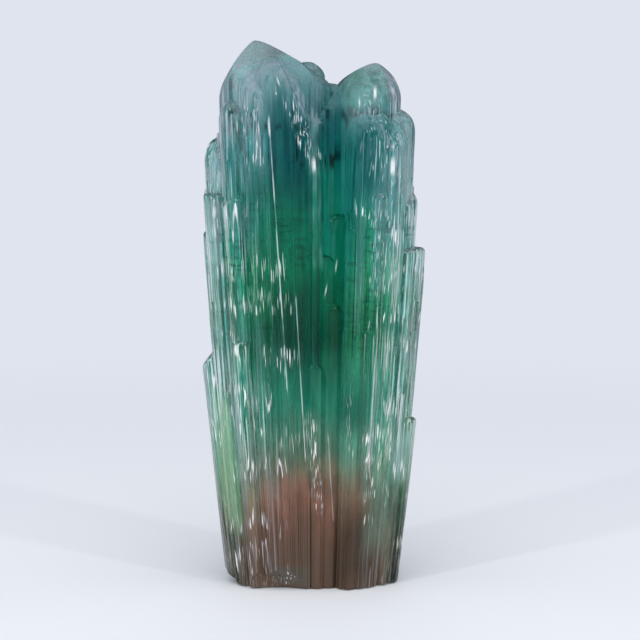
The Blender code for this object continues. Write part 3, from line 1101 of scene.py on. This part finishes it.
class FinishPainter:
    """Paints the finish of the crystal with nodes.

    A grain holds cells per metre across, in depth and upwards, then finer layers and their strength. Other
    rows of numbers say where a change starts and ends, then the results there. Lengths are in metres.

    Attributes:
        finish: Colours and optical values.
        sketch: The material's nodes.
        place: Places on the crystal.
        busy: How many lines and painted glints there are at each place, from 0 to 1.
        material: The finished material.
    """

    HALF_SPAN = 0.026
    FRONT = (0.0, -0.001)
    CLEAR_MIDDLE = (0.040, 0.070, -0.0035, 0.0)

    ZONE_GRAIN = ((110, 110, 70), 2.0)
    ZONE_WANDER = (0.3, 0.7, -0.02, 0.02)
    RIM_HALF_WIDTH = (0.0, 0.10, 0.0172, 0.0262)
    HEART_TO_BODY = (0.004, 0.013)
    BODY_TO_RIM = (0.60, 0.93)
    EMERALD_WIDTH = (0.0055, 0.003, 0.0, 0.85)
    EMERALD_FOOT = (0.062, 0.078)
    EMERALD_TOP = (0.108, 0.098)
    CLOUD_GRAIN = ((170, 170, 150), 3.0)
    CLOUDS = (0.3, 0.7, 0.8, 1.22)
    BROAD_GRAIN = ((420, 420, 9), 1.0)
    BROAD_STREAKS = (0.3, 0.7, 0.86, 1.16)
    FINE_GRAIN = ((1500, 1500, 40), 1.0)
    FINE_STREAKS = (0.36, 0.64, 0.45, 1.45)
    STREAKY_FROM_FOOT = (0.014, 0.036, 0.2, 0.8)

    PATCH_GRAIN = ((200, 200, 60), 3.0, 0.6)
    STREAK_GRAIN = ((1900, 1900, 75), 1.0)
    FROST_GRAIN = ((800, 800, 600), 3.0, 0.7)
    LOOKS_UP = (0.2, 0.5)
    WORN_TIPS = (0.098, 0.112, 0.0, 0.3)
    BLOOM_FROM = (0.090, 0.106, 0.0, 0.65)
    BLOOM_TO = (0.126, 0.117, 0.4)
    BLOOM_FLANK = (0.35, 0.95, 0.3, 0.8)
    BLOOM_FOOT = (0.012, 0.035, 0.2, 1.0)
    ARCH_FROST = (0.36, 0.62, 0.25, 1.0)
    RAGGED = (0.92, 1.2)

    MILK_GRAIN = ((500, 500, 45), 2.0)
    MILK_WANDER = (0.3, 0.7, -0.005, 0.005)
    MILKY_TIPS = (0.102, 0.119)
    MILKY_CAPS = (0.096, 0.110)
    CAPS_LOOK_UP = (0.15, 0.7, 0.0, 0.6)
    LEAST_MILK = 0.5

    SMOKE_GRAIN = ((90, 90, 60), 2.0)
    SMOKE_WANDER = (0.3, 0.7, -0.002, 0.002)
    SMOKE_LOWER_RIGHT = (0.0, 0.010, 0.0, 0.006)
    SMOKE_WIDTH = (0.0275, 0.021)
    SMOKE_HEIGHT = (0.038, 0.006)

    SHORT_GRAIN = ((1900, 1900, 55), 1.0)
    SHORT_LINES = (0.58, 0.68)
    FAR_GRAIN = ((1600, 1600, 12), 0.0)
    FAR_LINES = (0.71, 0.76, 0.0, 0.7)
    LINED_GRAIN = ((160, 160, 45), 2.0)
    LINED_PATCHES = (0.38, 0.6, 0.2, 1.0)
    LINED_RIMS = (0.0175, 0.0245, 0.0, 0.10)
    LINES_TOP = (0.121, 0.112)
    LINES_FOOT = (0.012, 0.040, 0.3)
    BREAK_GRAIN = ((500, 500, 130),)
    BREAKS = (0.35, 0.6, 0.3, 1.0)

    # Grains and ranges of the painted glints: spots that stand in for light caught by the ridges.
    PAINTED_GLINT_GRAIN = ((1800, 1800, 120), 0.0)
    UNEVEN_GRAIN = ((1500, 1500, 0), 0.0)
    UNEVEN_BY = 0.009
    ROW_GRAIN = ((80, 80, 280), 0.0)
    BUSY_GAIN = 0.06
    PAINTED_GLINT_CHANCE = (0.60, 0.80)
    ROWS = (0.57, 0.72)
    PAINTED_GLINTS_WHERE_BUSY = (0.15, 0.6)
    PAINTED_GLINTS_TOP = (0.110, 0.100)
    DASH_GRAIN = ((3800, 3800, 60), 0.0)
    DASHES = (0.50, 0.68)
    LIFT_GRAIN = ((2400, 2400, 0), 0.0)
    LIFT = (0.2, 0.8, -0.0022, 0.0022)
    FIELD_GRAIN = ((2900, 2900, 330), 1.0)
    FIELD_DASHES = (0.56, 0.68)

    CRACK_GRAIN = ((210, 210, 1500), 1.0)
    CRACKS = (0.56, 0.62, 0.0, 0.7)
    CRACK_GROUP_GRAIN = ((90, 90, 120), 1.0)
    CRACK_GROUPS = (0.45, 0.55)
    CRACKS_FOOT = (0.048, 0.062)
    CRACKS_TOP = (0.096, 0.084)

    RELIEF_GRAIN = ((1300, 1300, 24), 1.0)
    SWELL_GRAIN = ((300, 300, 130), 2.0)

    def __init__(self, finish: TourmalineFinish) -> None:
        """Makes the material.

        Args:
            finish: Colours and optical values.
        """
        self.finish = finish
        self.material = bpy.data.materials.new("green_tourmaline")
        self.material.use_nodes = True
        self.sketch = NodeSketch(self.material.node_tree)
        self.place = GrownPlace(self.sketch, finish.plan)
        self.busy = self.busy_front()
        self.paint()

    def in_front(self, marks: tuple[FrontMark, ...], place: GrownPlace | None = None) -> Socket:
        """Where any of some marks lies on the front of the crystal.

        Args:
            marks: The marks.
            place: Places on the crystal, where they aren't the painter's own.

        Returns:
            Their strength, from 0 to 1.
        """
        marked = self.sketch.largest(*(mark.mask(self.sketch, place or self.place) for mark in marks))
        return self.sketch.product(marked, self.sketch.between(self.place.y, *self.FRONT))

    def busy_front(self) -> Socket:
        """Finds how many lines and painted glints there are; the clear middle lies further right low down.

        Returns:
            How many, from 0 to 1.
        """
        sketch = self.sketch
        across = sketch.math("ADD", self.place.across, sketch.between(self.place.z, *self.CLEAR_MIDDLE))
        share = sketch.math("ADD", sketch.product(across, 0.5 / self.HALF_SPAN), 0.5)
        return sketch.zones(share, tuple((at, (amount, amount, amount)) for at, amount in self.finish.busy))

    def colour(self) -> Socket:
        """Colour zones of the clear crystal: the zones up the height are its own colours, while the darker
        heart and paler rims partly paint the shade of thick crystal and the light through thin edges.

        Returns:
            The colour.
        """
        sketch, place, finish = self.sketch, self.place, self.finish
        wander = sketch.noise(place.vector, *self.ZONE_GRAIN)
        share = sketch.math("DIVIDE", place.z, finish.plan.height)
        share = sketch.math("ADD", share, sketch.between(wander, *self.ZONE_WANDER))
        from_heart = sketch.math("ABSOLUTE", sketch.math("SUBTRACT", place.x, finish.heart_at))
        half_width = sketch.between(place.z, *self.RIM_HALF_WIDTH)
        from_axis = sketch.math("DIVIDE", sketch.math("ABSOLUTE", place.x), half_width)
        heart, body, rim = (sketch.zones(share, stops) for stops in (finish.heart, finish.body, finish.rim))
        # The darker heart and paler rims partly paint shade inside thick crystal and light through thin
        # edges.
        colour = sketch.mixed(sketch.between(from_heart, *self.HEART_TO_BODY), heart, body)
        colour = sketch.mixed(sketch.between(from_axis, *self.BODY_TO_RIM), colour, rim)
        beside = sketch.math("ABSOLUTE", sketch.math("SUBTRACT", place.x, finish.emerald_at))
        column = sketch.product(
            sketch.between(beside, *self.EMERALD_WIDTH),
            sketch.between(place.z, *self.EMERALD_FOOT),
            sketch.between(place.z, *self.EMERALD_TOP),
        )
        colour = sketch.mixed(column, colour, (*finish.emerald, 1.0))
        clouds = sketch.between(sketch.noise(place.vector, *self.CLOUD_GRAIN), *self.CLOUDS)
        broad = sketch.between(sketch.noise(place.vector, *self.BROAD_GRAIN), *self.BROAD_STREAKS)
        colour = sketch.mixed(1.0, colour, sketch.product(clouds, broad), "MULTIPLY")
        fine = sketch.between(sketch.noise(place.vector, *self.FINE_GRAIN), *self.FINE_STREAKS)
        streaky = sketch.product(self.busy, sketch.between(place.z, *self.STREAKY_FROM_FOOT))
        return sketch.mixed(streaky, colour, sketch.mixed(1.0, colour, fine, "MULTIPLY"))

    def bloom(self) -> Socket:
        """Frosted bloom: over the shoulders, on flanks that face sideways, and in upright patches; on the
        sideways flanks it is partly painted sheen, paler where those faces would catch light from the sides.

        Returns:
            How frosted the surface is, from 0 to 1.
        """
        sketch, place = self.sketch, self.place
        side, _, up = sketch.split(sketch.place("Normal"))
        patches = sketch.noise(place.vector, *self.PATCH_GRAIN)
        streaks = sketch.noise(place.vector, *self.STREAK_GRAIN)
        frost = sketch.noise(place.vector, *self.FROST_GRAIN)
        streaks = sketch.mixed(sketch.between(up, *self.LOOKS_UP), streaks, frost)
        ragged = sketch.math("ADD", patches, streaks)
        worn = sketch.math("ADD", self.busy, sketch.between(place.z, *self.WORN_TIPS))
        starts, ends = (sketch.between(place.z, *rise) for rise in (self.BLOOM_FROM, self.BLOOM_TO))
        high = sketch.product(starts, ends)
        # Faces that look sideways get more bloom: frost, and partly a painted sheen of side light.
        side_frost_and_sheen = sketch.between(sketch.math("ABSOLUTE", side), *self.BLOOM_FLANK)
        reach = sketch.math("ADD", high, sketch.product(side_frost_and_sheen, sketch.between(place.z, *self.BLOOM_FOOT)))
        arch = sketch.product(self.in_front(ARCH), sketch.between(streaks, *self.ARCH_FROST))
        return sketch.largest(sketch.product(sketch.between(ragged, *self.RAGGED), reach, worn), arch)

    def milk(self) -> Socket:
        """How milky the tips are, more so on faces that look up and less in the dark middle.

        Returns:
            How milky the crystal is, from 0 to 1.
        """
        sketch, place = self.sketch, self.place
        _, _, up = sketch.split(sketch.place("Normal"))
        streaks = sketch.noise(place.vector, *self.MILK_GRAIN)
        height = sketch.math("ADD", place.z, sketch.between(streaks, *self.MILK_WANDER))
        worn = sketch.math("ADD", sketch.product(self.busy, 1.0 - self.LEAST_MILK), self.LEAST_MILK)
        tips = sketch.product(sketch.between(height, *self.MILKY_TIPS), worn)
        upward = sketch.between(up, *self.CAPS_LOOK_UP)
        return sketch.largest(tips, sketch.product(upward, sketch.between(height, *self.MILKY_CAPS)))

    def smoke(self) -> Socket:
        """How smoky the foot is, less towards the rims.

        Returns:
            How smoky the crystal is, from 0 to 1.
        """
        sketch, place = self.sketch, self.place
        wander = sketch.between(sketch.noise(place.vector, *self.SMOKE_GRAIN), *self.SMOKE_WANDER)
        lower = sketch.between(place.x, *self.SMOKE_LOWER_RIGHT)
        height = sketch.math("ADD", sketch.math("ADD", place.z, wander), lower)
        inner = sketch.between(sketch.math("ABSOLUTE", place.across), *self.SMOKE_WIDTH)
        return sketch.product(sketch.between(height, *self.SMOKE_HEIGHT), inner)

    def lines(self) -> Socket:
        """Fine pale lines along the prisms, partly painted highlights where ridge edges would catch the
        light.

        Returns:
            How strong a line is, from 0 to 1.
        """
        sketch, place = self.sketch, self.place
        short = sketch.noise(place.vector, *self.SHORT_GRAIN)
        far = sketch.noise(place.vector, *self.FAR_GRAIN)
        patches = sketch.between(sketch.noise(place.vector, *self.LINED_GRAIN), *self.LINED_PATCHES)
        rims = sketch.between(sketch.math("ABSOLUTE", place.across), *self.LINED_RIMS)
        short = sketch.between(sketch.math("ADD", short, rims), *self.SHORT_LINES)
        short = sketch.product(short, self.busy, self.busy, patches)
        far = sketch.product(sketch.between(far, *self.FAR_LINES), self.busy)
        broken = sketch.between(sketch.noise(place.vector, *self.BREAK_GRAIN), *self.BREAKS)
        strips = sketch.product(self.in_front(PALE_STRIPS_AND_HIGHLIGHTS), broken)
        ends, starts = (sketch.between(place.z, *rise) for rise in (self.LINES_TOP, self.LINES_FOOT))
        within = sketch.product(ends, starts)
        return sketch.largest(sketch.product(sketch.largest(short, far), within), strips)

    def painted_glints(self) -> Socket:
        """Painted glints: short bright dashes side by side in level rows, standing in for light caught by the
        ridges.

        Returns:
            How strong a painted glint is, from 0 to 1.
        """
        sketch, place = self.sketch, self.place
        upright = sketch.noise(place.vector, *self.PAINTED_GLINT_GRAIN)
        uneven = sketch.product(sketch.noise(place.vector, *self.UNEVEN_GRAIN), self.UNEVEN_BY)
        shifted = sketch.joined(place.across, place.y, sketch.math("ADD", place.z, uneven))
        rows = sketch.noise(shifted, *self.ROW_GRAIN)
        chance = sketch.math("ADD", upright, sketch.product(self.busy, self.BUSY_GAIN))
        marked = sketch.product(
            sketch.between(chance, *self.PAINTED_GLINT_CHANCE),
            sketch.between(rows, *self.ROWS),
            sketch.between(self.busy, *self.PAINTED_GLINTS_WHERE_BUSY),
            sketch.between(place.z, *self.PAINTED_GLINTS_TOP),
        )
        dashes = sketch.between(sketch.noise(place.vector, *self.DASH_GRAIN), *self.DASHES)
        lift = sketch.between(sketch.noise(place.vector, *self.LIFT_GRAIN), *self.LIFT)
        rowed = sketch.product(self.in_front(PAINTED_GLINT_ROWS, place.lifted(sketch, lift)), dashes)
        short = sketch.between(sketch.noise(place.vector, *self.FIELD_GRAIN), *self.FIELD_DASHES)
        fields = sketch.product(self.in_front(PAINTED_GLINT_FIELDS), short)
        return sketch.largest(marked, rowed, fields, self.in_front(PAINTED_GLINTS))

    def cracks(self) -> Socket:
        """Short level hairlines across the clear middle.

        Returns:
            How dark a crack is, from 0 to 1.
        """
        sketch, place = self.sketch, self.place
        level = sketch.noise(place.vector, *self.CRACK_GRAIN)
        groups = sketch.noise(place.vector, *self.CRACK_GROUP_GRAIN)
        return sketch.product(
            sketch.between(level, *self.CRACKS),
            sketch.between(groups, *self.CRACK_GROUPS),
            sketch.between(place.z, *self.CRACKS_FOOT),
            sketch.between(place.z, *self.CRACKS_TOP),
        )

    def relief(self) -> Socket:
        """Fine upright lines and gentle swells.

        Returns:
            The normal.
        """
        sketch = self.sketch
        lines = sketch.noise(self.place.vector, *self.RELIEF_GRAIN)
        swells = sketch.noise(self.place.vector, *self.SWELL_GRAIN)
        bump = sketch.node("Bump")
        bump.inputs["Strength"].default_value = 1.0
        bump.inputs["Distance"].default_value = self.finish.relief_height
        lines = sketch.product(lines, self.finish.relief_lines)
        sketch.feed(bump.inputs["Height"], sketch.math("ADD", lines, swells))
        return bump.outputs["Normal"]

    def paint(self) -> None:
        """Feeds the material's shader: colours, painted shade, painted highlights and glints and other marks
        over each other, relief, and absorption inside.
        """
        sketch, finish = self.sketch, self.finish
        patches_of_shade_and_tone = [(patch, patch.mark.mask(sketch, self.place)) for patch in SHADES_AND_TONES]
        covered = sketch.product(sketch.largest(*(mask for _, mask in patches_of_shade_and_tone)), finish.clear_shades_and_tones)
        bloom = sketch.product(self.bloom(), sketch.math("SUBTRACT", 1.0, covered))
        milk, smoke, lines, painted_glints = self.milk(), self.smoke(), self.lines(), self.painted_glints()
        colour = sketch.mixed(self.cracks(), self.colour(), (*finish.crack_colour, 1.0))
        milky = sketch.zones(sketch.math("DIVIDE", self.place.z, finish.plan.height), finish.milk_colours)
        colour = sketch.mixed(milk, colour, milky)
        colour = sketch.mixed(smoke, colour, (*finish.smoke_colour, 1.0))
        # Patches of the crystal's own colour and of painted shade go over the colour.
        for patch, mask in patches_of_shade_and_tone:
            colour = sketch.mixed(mask, colour, (*patch.colour, 1.0))
        # Bloom (partly painted sheen), pale lines (partly painted highlights) and painted glints go over the
        # colour.
        over = ((bloom, finish.bloom_colour), (lines, finish.line_and_highlight_colour), (painted_glints, finish.painted_glint_colour))
        for mask, own in over:
            colour = sketch.mixed(mask, colour, (*own, 1.0))
        marks = list(zip((bloom, lines, painted_glints, milk, smoke), finish.solid))
        marks += [(mask, patch.solid) for patch, mask in patches_of_shade_and_tone if patch.solid]
        solid = sketch.largest(*(sketch.product(mask, share) for mask, share in marks))
        relief = self.relief()
        nodes = self.material.node_tree.nodes
        shader = nodes["Principled BSDF"].inputs
        shader["IOR"].default_value = finish.ior
        shader["Specular Tint"].default_value = (*[finish.specular_tint] * 3, 1.0)
        for name, number in zip(("Coat Weight", "Coat Roughness", "Coat IOR"), finish.coat):
            shader[name].default_value = number
        sketch.feed(shader["Base Color"], colour)
        sketch.feed(shader["Roughness"], sketch.between(bloom, 0.0, 1.0, *finish.roughness))
        sketch.feed(shader["Transmission Weight"], sketch.math("SUBTRACT", 1.0, solid))
        sketch.feed(shader["Normal"], relief)
        sketch.feed(shader["Coat Normal"], relief)
        volume = sketch.node("VolumeAbsorption")
        volume.inputs["Color"].default_value = (*finish.deep, 1.0)
        volume.inputs["Density"].default_value = finish.density
        sketch.feed(nodes["Material Output"].inputs["Volume"], volume.outputs[0])


@dataclass(frozen=True)
class Lamp:
    """A soft rectangular light that faces the crystal.

    Attributes:
        name: What it is called.
        place: Where it hangs, in metres.
        size: Its width and height, in metres.
        watts: Its power.
    """

    name: str
    place: Point
    size: tuple[float, float]
    watts: float


LAMPS = (
    Lamp("overhead", (0.0, -0.35, 0.85), (0.8, 0.8), 3.0),
    Lamp("strip_left", (-0.60, -0.60, 0.30), (0.05, 0.22), 1.6),
    Lamp("strip_right", (0.62, -0.58, 0.28), (0.05, 0.22), 1.6),
)


@dataclass(frozen=True)
class Studio:
    """The pale table, the even light and the camera.

    Attributes:
        backdrop: Colour of the surroundings.
        target: What the camera looks at, in metres.
        dimmest: Strength of the surroundings between the four bright sides.
        mirrored: Share of the surroundings that gloss reflects.
        distance: How far away the camera stands, in metres.
        elevation: How high the camera looks from, in degrees.
        lens: Focal length, in millimetres.
        shift: How far the picture is shifted, as shares of its width.
    """

    backdrop: Colour = (0.745, 0.776, 0.863)
    target: Point = (0.0, 0.0, 0.0625)
    dimmest: float = 0.5
    mirrored: float = 0.08
    distance: float = 0.45
    elevation: float = 6.0
    lens: float = 109.4
    shift: tuple[float, float] = (7 / 640, -7 / 640)

    TABLE_RADIUS = 3.0
    TABLE_DROP = 0.0003
    TABLE_FADE = (0.08, 0.45)
    TABLE_COLOUR = (0.93, 0.94, 0.96, 1.0)
    TABLE_ROUGHNESS = 0.7
    TABLE_SEGMENTS = 96
    SIDE_FADE = (0.05, 0.6)

    def camera(self) -> None:
        """Places the camera."""
        data = bpy.data.cameras.new("camera")
        data.lens = self.lens
        data.shift_x, data.shift_y = self.shift
        obj = bpy.data.objects.new("camera", data)
        bpy.context.scene.collection.objects.link(obj)
        rise = math.radians(self.elevation)
        target = Vector(self.target)
        obj.location = target + self.distance * Vector((0, -math.cos(rise), math.sin(rise)))
        obj.rotation_euler = (target - obj.location).to_track_quat("-Z", "Y").to_euler()
        bpy.context.scene.camera = obj

    def world(self) -> None:
        """Fills the surroundings with the backdrop's colour, bright on four sides and soft in the gloss."""
        world = bpy.data.worlds.new("surroundings")
        world.use_nodes = True
        sketch = NodeSketch(world.node_tree)
        x, y, _ = sketch.split(sketch.place("Generated"))
        towards = sketch.math("SUBTRACT", sketch.math("ABSOLUTE", x), sketch.math("ABSOLUTE", y))
        sides = sketch.between(sketch.math("ABSOLUTE", towards), *self.SIDE_FADE, self.dimmest, 1.0)
        ray = sketch.node("LightPath").outputs
        gloss = sketch.product(ray["Is Reflection Ray"], sketch.math("SUBTRACT", 1.0, ray["Is Diffuse Ray"]))
        kept = sketch.math("SUBTRACT", 1.0, sketch.product(gloss, 1.0 - self.mirrored))
        background = world.node_tree.nodes["Background"].inputs
        background["Color"].default_value = (*self.backdrop, 1.0)
        sketch.feed(background["Strength"], sketch.largest(sketch.product(sides, kept), ray["Is Camera Ray"]))
        bpy.context.scene.world = world
        bpy.context.scene.view_settings.view_transform = "Standard"

    def hang(self, lamp: Lamp) -> None:
        """Adds a lamp and turns it to the crystal.

        Args:
            lamp: The lamp.
        """
        light = bpy.data.lights.new(lamp.name, "AREA")
        light.shape = "RECTANGLE"
        light.size, light.size_y = lamp.size
        light.energy = lamp.watts
        obj = bpy.data.objects.new(lamp.name, light)
        bpy.context.scene.collection.objects.link(obj)
        obj.location = lamp.place
        obj.visible_camera = False
        obj.rotation_euler = (Vector(self.target) - obj.location).to_track_quat("-Z", "Y").to_euler()

    def table(self) -> None:
        """Lays the pale table, whose surface melts into the surroundings away from the crystal."""
        bm = bmesh.new()
        bmesh.ops.create_circle(bm, cap_ends=True, radius=self.TABLE_RADIUS, segments=self.TABLE_SEGMENTS)
        mesh = bpy.data.meshes.new("table")
        bm.to_mesh(mesh)
        bm.free()
        obj = bpy.data.objects.new("table", mesh)
        obj.location.z = -self.TABLE_DROP
        bpy.context.scene.collection.objects.link(obj)
        material = bpy.data.materials.new("pale_table")
        material.use_nodes = True
        sketch = NodeSketch(material.node_tree)
        shader = material.node_tree.nodes["Principled BSDF"]
        shader.inputs["Base Color"].default_value = self.TABLE_COLOUR
        shader.inputs["Roughness"].default_value = self.TABLE_ROUGHNESS
        glow = sketch.node("Emission")
        glow.inputs["Color"].default_value = (*self.backdrop, 1.0)
        x, y, _ = sketch.split(sketch.place())
        away = sketch.math("SQRT", sketch.math("ADD", sketch.product(x, x), sketch.product(y, y)))
        melt = sketch.node("MixShader")
        sketch.feed(melt.inputs[0], sketch.between(away, *self.TABLE_FADE))
        sketch.feed(melt.inputs[1], shader.outputs[0])
        sketch.feed(melt.inputs[2], glow.outputs[0])
        sketch.feed(material.node_tree.nodes["Material Output"].inputs["Surface"], melt.outputs[0])
        mesh.materials.append(material)

    def build(self) -> None:
        """Sets up the table, the light and the camera."""
        self.camera()
        self.world()
        self.table()
        for lamp in LAMPS:
            self.hang(lamp)


def main() -> None:
    """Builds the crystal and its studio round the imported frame."""
    logging.basicConfig(level=logging.INFO, format="%(message)s")
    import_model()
    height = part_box(NODE)[1][2]
    bundle = CrystalBundle(Plan(height), PrismShape(), Striation())
    crystal = bundle.build()
    crystal.data.materials.clear()
    crystal.data.materials.append(FinishPainter(TourmalineFinish(bundle.plan)).material)
    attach(crystal, "root")
    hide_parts(NODE)
    LOG.info("crystal: %d faces", len(crystal.data.polygons))
    Studio().build()
    LOG.info("studio: table, lamps and camera")


if __name__ == "__main__":
    main()
